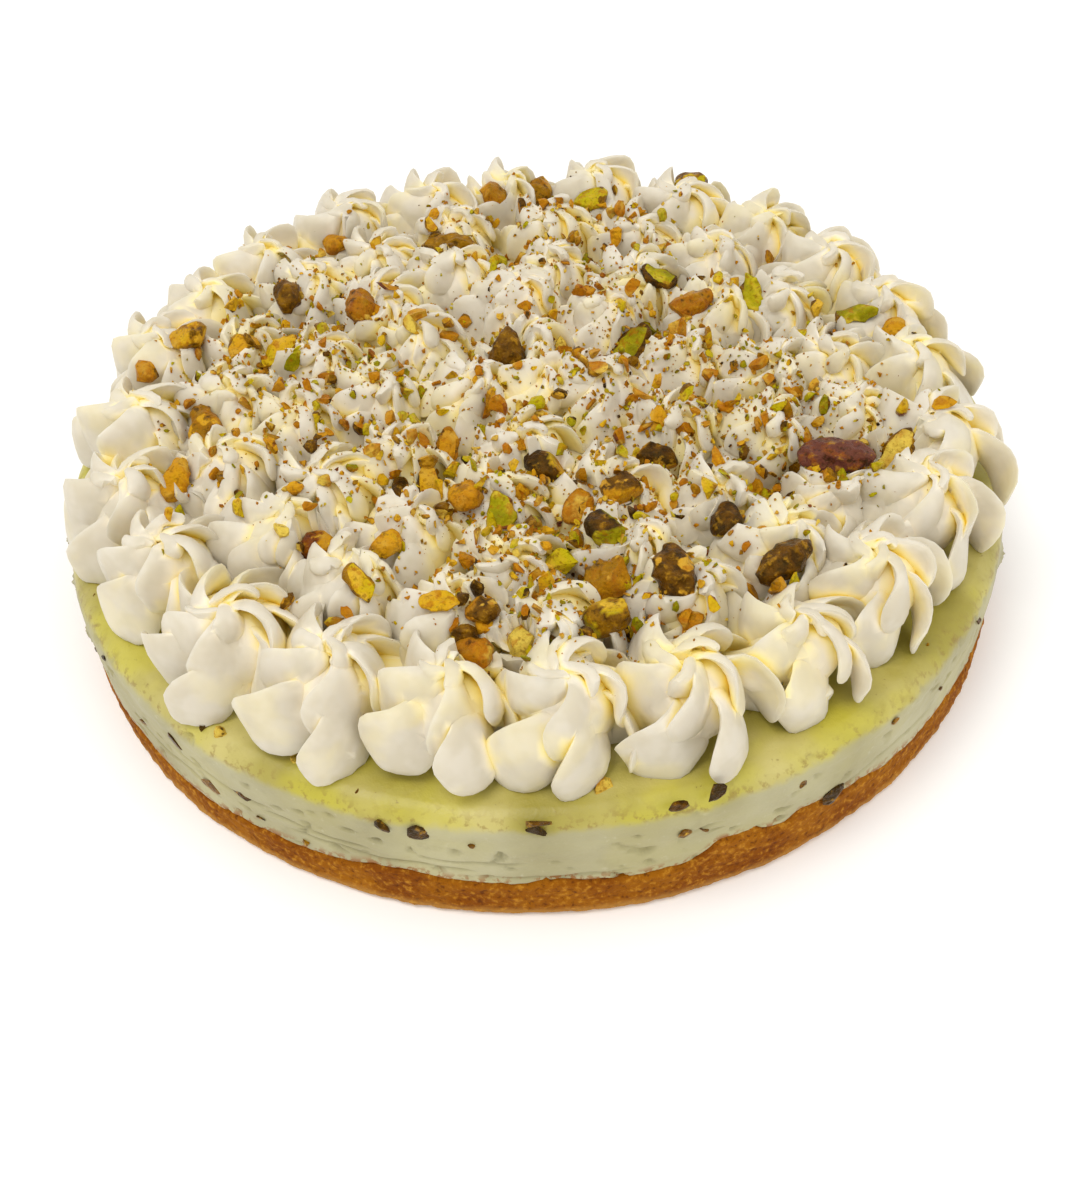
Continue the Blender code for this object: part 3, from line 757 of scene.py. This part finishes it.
def pipe_curl(degrees, reach, height, radius, length, collection):
    """A short rolled tube of cream with a dished mouth, pointing out and a little down."""
    azimuth = math.radians(degrees)
    aim = Vector((math.cos(azimuth), math.sin(azimuth), -0.35))
    mouth = Vector((reach * math.cos(azimuth), reach * math.sin(azimuth), 0)) / 1000
    mouth.z = CREAM_BASE + height / 1000
    shape = bmesh.new()
    rings = []
    for along, share in [(length * part, share) for part, share in CURL_BODY] + list(CURL_LIP):
        ring = []
        for step in range(CURL_SIDES):
            turn = math.tau * step / CURL_SIDES
            spot = (share * radius * math.cos(turn), share * radius * math.sin(turn), along)
            ring.append(shape.verts.new(spot))
        rings.append(ring)
    for low, high in zip(rings, rings[1:]):
        for step in range(CURL_SIDES):
            after = (step + 1) % CURL_SIDES
            shape.faces.new((low[step], low[after], high[after], high[step]))
    shape.faces.new(rings[0][::-1])
    shape.faces.new(rings[-1])
    turned = aim.to_track_quat("Z", "Y").to_matrix().to_4x4()
    shape.transform(Matrix.Translation(mouth) @ turned @ Matrix.Scale(0.001, 4))
    linked("curl", shape, collection)


def pipe_cream(name, rows, bed_height):
    """Pipes the rosettes of some rows on a low bed and fuses them into one body of cream."""
    operands = bpy.data.collections.new("piped")
    bpy.context.scene.collection.children.link(operands)
    draw = random.Random(PETAL_SEED)
    for place in rosette_places():
        if place[5] in rows:
            pipe_rosette(place, draw, operands)
    if 0 in rows:
        for curl in CURLS:
            pipe_curl(*curl, operands)
    shape = bmesh.new()
    bmesh.ops.create_cone(
        shape, cap_ends=True, segments=96, radius1=BED_RADIUS, radius2=BED_RADIUS, depth=bed_height
    )
    middle = CREAM_CENTRE + Vector((0, 0, CREAM_BASE + bed_height / 2))
    bmesh.ops.translate(shape, verts=shape.verts, vec=middle)
    cream = linked(name, shape, bpy.context.scene.collection)
    fuse = cream.modifiers.new("fuse", "BOOLEAN")
    fuse.operation = "UNION"
    fuse.operand_type = "COLLECTION"
    fuse.collection = operands
    fuse.solver = "MANIFOLD"
    depsgraph = bpy.context.evaluated_depsgraph_get()
    mesh = bpy.data.meshes.new_from_object(cream.evaluated_get(depsgraph))
    cream.modifiers.clear()
    cream.data = mesh
    for operand in list(operands.objects):
        bpy.data.objects.remove(operand, do_unlink=True)
    bpy.data.collections.remove(operands)
    return cream


def shake(mesh):
    """Makes the cream uneven with a slow wobble, and keeps it between the cheesecake and its own top."""
    for vertex in mesh.vertices:
        spot = vertex.co * 120
        vertex.co += WOBBLE * Vector([noise.noise(spot + place) for place in WOBBLE_PLACES])
        vertex.co.z = max(vertex.co.z, CREAM_BASE - CREAM_SINK)
        over = vertex.co.z - CREAM_TOP + PEAK_ROOM
        if over > 0:
            vertex.co.z -= over - PEAK_ROOM * (1 - math.exp(-over / PEAK_ROOM))


def bed_kernels(mesh):
    """Presses the cream down under and round each large kernel, so that the kernel lies in it."""
    points, triangles, levels = [], [], []
    for name in KERNEL_NAMES:
        solid = frame["nodes"][name].data
        start = len(points)
        points += [vertex.co.copy() for vertex in solid.vertices]
        low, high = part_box(name)
        for polygon in solid.polygons:
            triangles.append([start + index for index in polygon.vertices])
            levels.append(low.z + KERNEL_LEVEL * (high.z - low.z))
    tree = BVHTree.FromPolygons(points, triangles)
    for vertex in mesh.vertices:
        index, away = tree.find_nearest(vertex.co, KERNEL_REACH)[2:]
        below = tree.ray_cast(vertex.co, Vector((0, 0, -1)))
        if below[0]:
            index, away = below[2], 0
        if index is not None and vertex.co.z > levels[index]:
            share = eased(away, KERNEL_REACH, KERNEL_TOUCH)
            vertex.co.z += share * (levels[index] - vertex.co.z)


# The openness drives painted light in the cream's colour: painted bounce light in shaded parts, painted
# yellow glow in creases.
def store_openness(mesh):
    """Stores how open each point is to the air: 0 deep in a crease, 1 on a rim."""
    tree = BVHTree.FromPolygons([v.co for v in mesh.vertices], [p.vertices for p in mesh.polygons])
    draw = random.Random(3)
    fan = [random_way(draw) for number in range(OPENNESS_RAYS)]
    values = []
    for vertex in mesh.vertices:
        normal = vertex.normal
        start = vertex.co + normal * RAY_START
        seen = 0
        for way in fan:
            aim = way if way.dot(normal) > 0 else -way
            hit = tree.ray_cast(start, aim, OPENNESS_REACH)[3]
            seen += 1 if hit is None else hit / OPENNESS_REACH
        values.append(seen / OPENNESS_RAYS)
    stored(mesh, "openness", "POINT", values)


def whipped_cream():
    finish = Finish(
        "whipped_cream", 0.5, Specular_IOR_Level=0.35, Subsurface_Weight=0.35, Subsurface_Scale=0.004,
        Subsurface_Radius=(1, 0.9, 0.75)
    )
    open_air = finish.drawn("openness")
    soft = finish.place.grain(160, 2)
    # Parts in shade, read from the openness: painted lighter below, as painted bounce light.
    shade = 1 - open_air.between(0.35, 0.95)
    # Creases and deeper hollows, read from the openness: the yellow blended in below is painted glow of
    # light through the cream, not its own colour.
    crease = 1 - open_air.between(0.16, 0.66)
    deep = 1 - open_air.between(0.05, 0.34)
    # Yellow patches at random, weakened on open surfaces so that they gather in the hollows: partly tone
    # that differs at random, partly painted glow of light through the cream.
    yellow_patches_and_glow = finish.place.grain(70, 3).between(0.48, 0.66)
    colour = soft.between(0.35, 0.65).blend(paint(202, 193, 172), paint(211, 203, 186))
    colour = (shade * 0.90).blend(colour, paint(248, 238, 216))
    colour = (yellow_patches_and_glow * (0.62 - open_air.between(0.5, 0.95) * 0.42)).blend(colour, paint(244, 228, 150))
    colour = (crease * 0.85).blend(colour, paint(252, 232, 142))
    colour = (deep * 0.95).blend(colour, paint(250, 220, 84))
    finish.feed("Base Color", colour)
    finish.raised(finish.place.grain(420, 2), 0.00015, 0.5)
    return finish.material


cream_finish = whipped_cream()
cream_pieces = [
    pipe_cream("cream_rim", (0,), BED_HEIGHT),
    pipe_cream("cream_ring", (1,), 0.9 * BED_HEIGHT),
    pipe_cream("cream_middle", (2, 3, 4, 5), 0.8 * BED_HEIGHT),
]
for cream in cream_pieces:
    shake(cream.data)
    bed_kernels(cream.data)
    store_openness(cream.data)
    cream.data.shade_smooth()
    cream.data.set_sharp_from_angle(angle=math.radians(40))
    cream.data.materials.clear()
    cream.data.materials.append(cream_finish)
    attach(cream, "root")
    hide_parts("cream")


# The large kernels: toasted pistachios, whole, halved or broken, pressed into the cream while it was
# soft. The wrinkled skin is partly rubbed off, and a cut face shows the flesh.

# In the order of the nodes: the look, as for the nuts baked in, and how many breaks the kernel has
KERNEL_LOOKS = (
    (0.20, 0.40, 0.05, 0), (0.42, 0.50, 0.15, 0), (0.15, 0.06, 0.25, 1), (0.50, 0.55, 0.60, 0),
    (0.60, 0.62, 1.00, 2), (0.90, 0.60, 0.35, 4), (0.40, 0.36, 0.40, 1), (1.00, 0.30, 0.12, 0),
    (0.30, 0.95, 0.40, 1), (0.14, 0.58, 0.48, 1), (0.14, 0.50, 0.15, 1), (0.06, 0.10, 0.10, 4),
    (0.50, 0.72, 0.40, 5), (0.32, 0.35, 0.35, 4), (0.62, 0.80, 0.30, 4), (0.60, 0.70, 0.90, 2),
    (0.60, 0.70, 0.20, 2), (0.50, 0.60, 0.25, 1), (0.30, 0.24, 0.70, 1), (0.66, 0.72, 0.30, 2),
    (0.30, 0.14, 0.90, 1), (0.25, 0.04, 0.70, 2), (0.60, 0.62, 0.95, 3), (0.66, 0.70, 0.30, 1),
    (0.45, 0.42, 0.55, 2), (0.48, 0.52, 0.60, 4), (0.10, 0.10, 0.35, 1), (0.10, 0.60, 0.10, 3),
    (0.20, 0.64, 0.45, 5), (0.06, 0.50, 0.10, 2), (0.14, 0.52, 0.40, 1), (0.25, 0.22, 0.50, 4),
    (0.08, 0.10, 0.15, 1), (0.50, 0.60, 0.85, 4), (0.50, 0.48, 0.90, 2), (0.20, 0.72, 0.30, 4),
    (0.40, 1.00, 1.00, 4), (0.45, 0.58, 0.45, 2), (0.22, 0.30, 0.20, 1), (0.60, 0.74, 0.60, 2),
    (0.85, 0.08, 0.35, 2), (0.60, 0.70, 0.90, 4), (0.60, 0.66, 0.45, 2), (0.10, 0.40, 0.20, 1),
)
KERNEL_PLUMPNESS = 1.14
CUT_FACE_SHARE = 0.09
LARGE_KERNEL = 0.0105
WRINKLE_HEIGHT = 0.0008
# How far out a break lies, as shares of the reach from the middle, and how flat it is
BREAK_REACH = (0.62, 0.82)
BREAK_FLATNESS = 0.9


def dress_kernel(node, look, draw):
    """A fine kernel in the place of its solid: rounded and wrinkled, its flat cut faces marked."""
    shape = bmesh.new()
    shape.from_mesh(node.data)
    bmesh.ops.remove_doubles(shape, verts=shape.verts, dist=1e-6)
    middle = sum((vertex.co for vertex in shape.verts), Vector()) / len(shape.verts)
    longest = 2 * max((vertex.co - middle).length for vertex in shape.verts)
    areas = {}
    for face in shape.faces:
        way = tuple(round(value, 2) for value in face.normal)
        areas[way] = areas.get(way, 0) + face.calc_area()
    for face in shape.faces:
        way = tuple(round(value, 2) for value in face.normal)
        face.material_index = int(areas[way] > CUT_FACE_SHARE * sum(areas.values()))
    plump = Matrix.Scale(KERNEL_PLUMPNESS, 4)
    shape.transform(Matrix.Translation(middle) @ plump @ Matrix.Translation(-middle))
    for level in range(3 if longest > LARGE_KERNEL else 2):
        bmesh.ops.subdivide_edges(shape, edges=shape.edges[:], cuts=1, use_grid_fill=True)
        bmesh.ops.smooth_vert(
            shape, verts=shape.verts[:], factor=0.5, use_axis_x=True, use_axis_y=True, use_axis_z=True
        )
    piece = linked(f"fine_{node.name}", shape, bpy.context.scene.collection)
    mesh = piece.data
    shift = Vector((draw.uniform(0, 50), 0, 0))
    normals = [vertex.normal.copy() for vertex in mesh.vertices]
    for vertex, normal in zip(mesh.vertices, normals):
        ridge = 0.4 - abs(noise.noise(vertex.co * 300 + shift)) * 2
        lump = noise.noise(vertex.co * 140 + shift)
        vertex.co += normal * (WRINKLE_HEIGHT * ridge + WRINKLE_HEIGHT * lump)
    broken = [0.0] * len(mesh.vertices)
    for number in range(look[3]):
        way = random_way(draw)
        far = max((vertex.co - middle).dot(way) for vertex in mesh.vertices)
        reach = far * draw.uniform(*BREAK_REACH)
        for vertex in mesh.vertices:
            over = (vertex.co - middle).dot(way) - reach
            if over > 0:
                vertex.co -= way * over * BREAK_FLATNESS
                broken[vertex.index] = 1.0
    for attribute, value in zip(("skin", "flesh", "bare"), look):
        stored(mesh, attribute, "POINT", [value] * len(mesh.vertices))
    stored(mesh, "broken", "POINT", broken)
    stored(mesh, "cut", "FACE", [float(polygon.material_index) for polygon in mesh.polygons])
    mesh.polygons.foreach_set("material_index", [0] * len(mesh.polygons))
    mesh.shade_smooth()
    mesh.materials.clear()
    mesh.materials.append(NUT_FINISH)
    return piece


kernel_draw = random.Random(12)
for name, look in zip(KERNEL_NAMES, KERNEL_LOOKS):
    kernel = dress_kernel(frame["nodes"][name], look, kernel_draw)
    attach(kernel, "root")
    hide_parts(name)


# The chopped nuts, crumbs and dust: what the knife left of the rest of the pistachios, thrown over the
# cream by the handful. Pieces a few millimetres long lie between the petals, with finer crumbs and
# green and brown dust round them.
CHIP_COUNT = 36
CHIP_SIZE = (0.0032, 0.0058)
CHIP_AREA_RADIUS = 0.088
CHIP_SEED = 7
STREWN_RADIUS = 0.101
THINNING_START = 0.72 * STREWN_RADIUS
# How many bits of each kind are strewn, and their smallest and largest size
STREWN_CHIPS = (950, (0.0021, 0.0058))
STREWN_CRUMBS = (5000, (0.0008, 0.0021))
STREWN_DUST = (4000, (0.0003, 0.0007))
BIT_LIFT = 0.18
# Pieces that stand out: place and size in millimetres, then the look
SET_CHIPS = (
    (-12, 60.5, 6, 0.7, 0.72, 0.8), (-0.5, 59.5, 8, 0.6, 0.75, 0.5), (-6, 55.5, 7, 0.3, 0.12, 1),
    (-6.5, 63, 6, 0.5, 0.5, 0.7), (-35, 35, 6.5, 0.95, 0.7, 0.2), (-16, -80, 7.5, 0.2, 0.2, 0.3),
    (-7, -86, 6.5, 0.3, 0.2, 1), (2, -85, 6.5, 0.05, 0.1, 0.1), (8, -84, 4.5, 0.1, 0.3, 0.2),
    (31.5, -80.5, 7, 0.6, 0.72, 0.7), (48, -72.5, 6.5, 0.5, 0.65, 0.7), (43, -69, 5, 0.6, 0.7, 0.9),
    (3.5, -61.5, 7, 0.4, 0.25, 0.9), (-1, -53, 7, 0.2, 0.05, 0.7), (-5, -33.5, 6, 0.3, 0.4, 0.8),
    (-51.5, -40, 6.5, 0.3, 0.6, 0.6), (-64.5, -42, 6.5, 0.4, 0.3, 0.8), (-42, -76, 6, 0.5, 0.2, 0.5),
    (-39, -76, 4, 0.6, 0.75, 0.8), (15.5, -22, 6.5, 0.55, 0.7, 0.4), (40, -33.5, 6, 0.05, 0.1, 0.1),
    (37, -43, 6.5, 0.4, 0.35, 0.8), (67.5, 55.5, 7, 0.6, 0.7, 1), (48, 10, 7.5, 0.5, 0.6, 0.4),
    (-41, 83.5, 8, 0.55, 0.65, 0.3), (-5.5, 75.5, 7, 0.4, 0.2, 1), (-10, -5, 8, 0.5, 0.6, 0.7),
    (-27.5, 23, 7, 0.6, 0.6, 1), (-68, 25, 7, 0.6, 0.55, 0.7), (-55, 26.5, 7, 0.5, 0.6, 0.3),
    (-57, 11, 6.5, 0.3, 0.05, 0.8), (-97, 31, 8, 0.5, 0.5, 0.8), (-93, 12, 7.5, 0.5, 0.7, 0.7),
    (-60.5, 52.5, 6, 0.5, 0.65, 0.5), (72.5, 24.5, 8.5, 0.25, 0.4, 0.6), (37.5, 15, 6.5, 0.6, 0.7, 0.8),
    (26, -13, 5, 0.55, 0.7, 0.6), (52, -22, 6, 0.6, 0.7, 0.8), (30, -17, 6, 0.6, 0.6, 0.6),
    (56, -20, 6, 0.2, 0.3, 0.4), (74, -42, 5.5, 0.4, 0.2, 0.7), (93, -22, 5.5, 0.5, 0.6, 0.8),
)
# Where the handfuls fell: place and spread in millimetres, then the share of the nuts that fell there.
# The rest fell anywhere
HANDFULS = (
    (5, -62, 17, 0.15), (38, -18, 20, 0.16), (-60, 22, 18, 0.13), (18, 16, 22, 0.15), (8, 68, 24, 0.13),
    (-20, -30, 15, 0.08), (70, -24, 15, 0.08), (-50, -8, 18, 0.06),
)


def chopped_places():
    """The larger chopped pieces: place, size and turn, spread evenly over the cream."""
    draw = random.Random(CHIP_SEED)
    places = []
    for number in range(CHIP_COUNT):
        reach = CHIP_AREA_RADIUS * math.sqrt((number + 0.5) / CHIP_COUNT)
        azimuth = number * math.pi * (3 - math.sqrt(5)) + draw.uniform(-0.3, 0.3)
        x = CREAM_CENTRE.x + reach * math.cos(azimuth)
        y = CREAM_CENTRE.y + reach * math.sin(azimuth)
        size = draw.uniform(*CHIP_SIZE)
        turn = Euler((draw.uniform(0, 3), draw.uniform(0, 3), draw.uniform(0, 6))).to_matrix().to_4x4()
        stretch = Matrix.Diagonal((1, draw.uniform(0.55, 0.85), draw.uniform(0.5, 0.8), 1))
        places.append((x, y, size, turn @ stretch))
    return places


def strewn_places(count, sizes, draw):
    """Random places, more of them where a handful fell and few near the rim."""
    places = []
    while len(places) < count:
        x, y = draw.uniform(-1, 1) * STREWN_RADIUS, draw.uniform(-1, 1) * STREWN_RADIUS
        pick = draw.random()
        for middle_x, middle_y, spread, share in HANDFULS:
            pick -= share
            if pick < 0:
                x = (middle_x + draw.gauss(0, spread)) / 1000
                y = (middle_y + draw.gauss(0, spread)) / 1000
                break
        if draw.random() > eased(math.hypot(x, y), STREWN_RADIUS, THINNING_START):
            continue
        size = sizes[0] + (sizes[1] - sizes[0]) * draw.random() ** 2
        places.append((x, y, size, any_turn(draw)))
    return places


def any_look(draw):
    """Skin, flesh and how bare: most bits are gold, orange-brown or yellow-green flesh."""
    fleshes = [draw.uniform(*span) for span in ((0.0, 0.3), (0.3, 0.6), (0.6, 0.85), (0.7, 1.0))]
    flesh = draw.choice(fleshes)
    return draw.uniform(0, 0.9), flesh, draw.choice((0.1, 0.5, 0.9, 1.0, 1.0))


def laid(places, draw, looks=()):
    """Rests each bit where it falls on the cream."""
    placed = []
    for index, (x, y, size, turn) in enumerate(places):
        hit, normal = CREAM_SURFACE.ray_cast(Vector((x, y, 1)), Vector((0, 0, -1)))[:2]
        look = looks[index] if index < len(looks) else any_look(draw)
        if hit is not None:
            placed.append((Matrix.Translation(hit + normal * BIT_LIFT * size) @ turn, size, look))
    return placed


surface_points, surface_faces = [], []
for cream in cream_pieces:
    start = len(surface_points)
    surface_points += [vertex.co.copy() for vertex in cream.data.vertices]
    surface_faces += [[start + index for index in polygon.vertices] for polygon in cream.data.polygons]
CREAM_SURFACE = BVHTree.FromPolygons(surface_points, surface_faces)
strew_draw = random.Random(21)
set_places = [(x / 1000, y / 1000, size / 1000, any_turn(strew_draw)) for x, y, size, *look in SET_CHIPS]
set_looks = [look for x, y, size, *look in SET_CHIPS]
chips = set_places + chopped_places() + strewn_places(*STREWN_CHIPS, strew_draw)
chopped("chopped_nuts", laid(chips, strew_draw, set_looks), 2, 22)
chopped("nut_crumbs", laid(strewn_places(*STREWN_CRUMBS, strew_draw), strew_draw), 1, 24)
chopped("nut_dust", laid(strewn_places(*STREWN_DUST, strew_draw), strew_draw), 1, 26)


# The floor: plain and pale, in a bright even room with two soft lamps. The camera looks down on the
# cake from in front.
VIEW_HEIGHT = math.radians(46.338)
VIEW_ROLL = math.radians(-2.7006)
VIEW_TARGET = Vector((-0.000234, -0.042669, 0.020))
VIEW_DISTANCE = 0.31577
LENS = 40.53
SENSOR_WIDTH = 36
FLOOR_RADIUS = 3.0
ROOM_BRIGHTNESS = 0.97
LAMP_TARGET = Vector((0, 0, 0.03))


def lamp(name, place, size, power, colour):
    light = bpy.data.lights.new(name, "AREA")
    light.shape = "DISK"
    light.size = size
    light.energy = power
    light.color = colour
    holder = bpy.data.objects.new(name, light)
    holder.location = place
    holder.rotation_euler = (LAMP_TARGET - Vector(place)).to_track_quat("-Z", "Y").to_euler()
    bpy.context.scene.collection.objects.link(holder)


shape = bmesh.new()
bmesh.ops.create_circle(shape, cap_ends=True, segments=64, radius=FLOOR_RADIUS)
floor = linked("floor", shape, bpy.context.scene.collection)
matt = Finish("floor_matt", 0.9)
matt.feed("Base Color", matt.place.grain(3, 1).blend(paint(252, 252, 251), paint(255, 255, 255)))
floor.data.materials.append(matt.material)

world = bpy.data.worlds.new("soft_room")
world.use_nodes = True
world.node_tree.nodes["Background"].inputs["Color"].default_value = (1, 0.99, 0.97, 1)
world.node_tree.nodes["Background"].inputs["Strength"].default_value = ROOM_BRIGHTNESS
bpy.context.scene.world = world
bpy.context.scene.view_settings.view_transform = "Standard"
lamp("key", (-0.25, -0.22, 0.85), 0.45, 2.5, (1, 0.98, 0.94))
lamp("fill", (0.5, -0.5, 0.5), 0.6, 0.7, (1, 0.99, 0.97))

back = Vector((0, -math.cos(VIEW_HEIGHT), math.sin(VIEW_HEIGHT)))
across = Vector((1, 0, 0))
upright = across.cross(-back)
right = across * math.cos(VIEW_ROLL) + upright * math.sin(VIEW_ROLL)
up = upright * math.cos(VIEW_ROLL) - across * math.sin(VIEW_ROLL)
optics = bpy.data.cameras.new("camera")
optics.lens = LENS
optics.sensor_width = SENSOR_WIDTH
camera = bpy.data.objects.new("camera", optics)
stand = Matrix((right, up, back)).transposed().to_4x4()
stand.translation = VIEW_TARGET + back * VIEW_DISTANCE
camera.matrix_world = stand
bpy.context.scene.collection.objects.link(camera)
bpy.context.scene.camera = camera
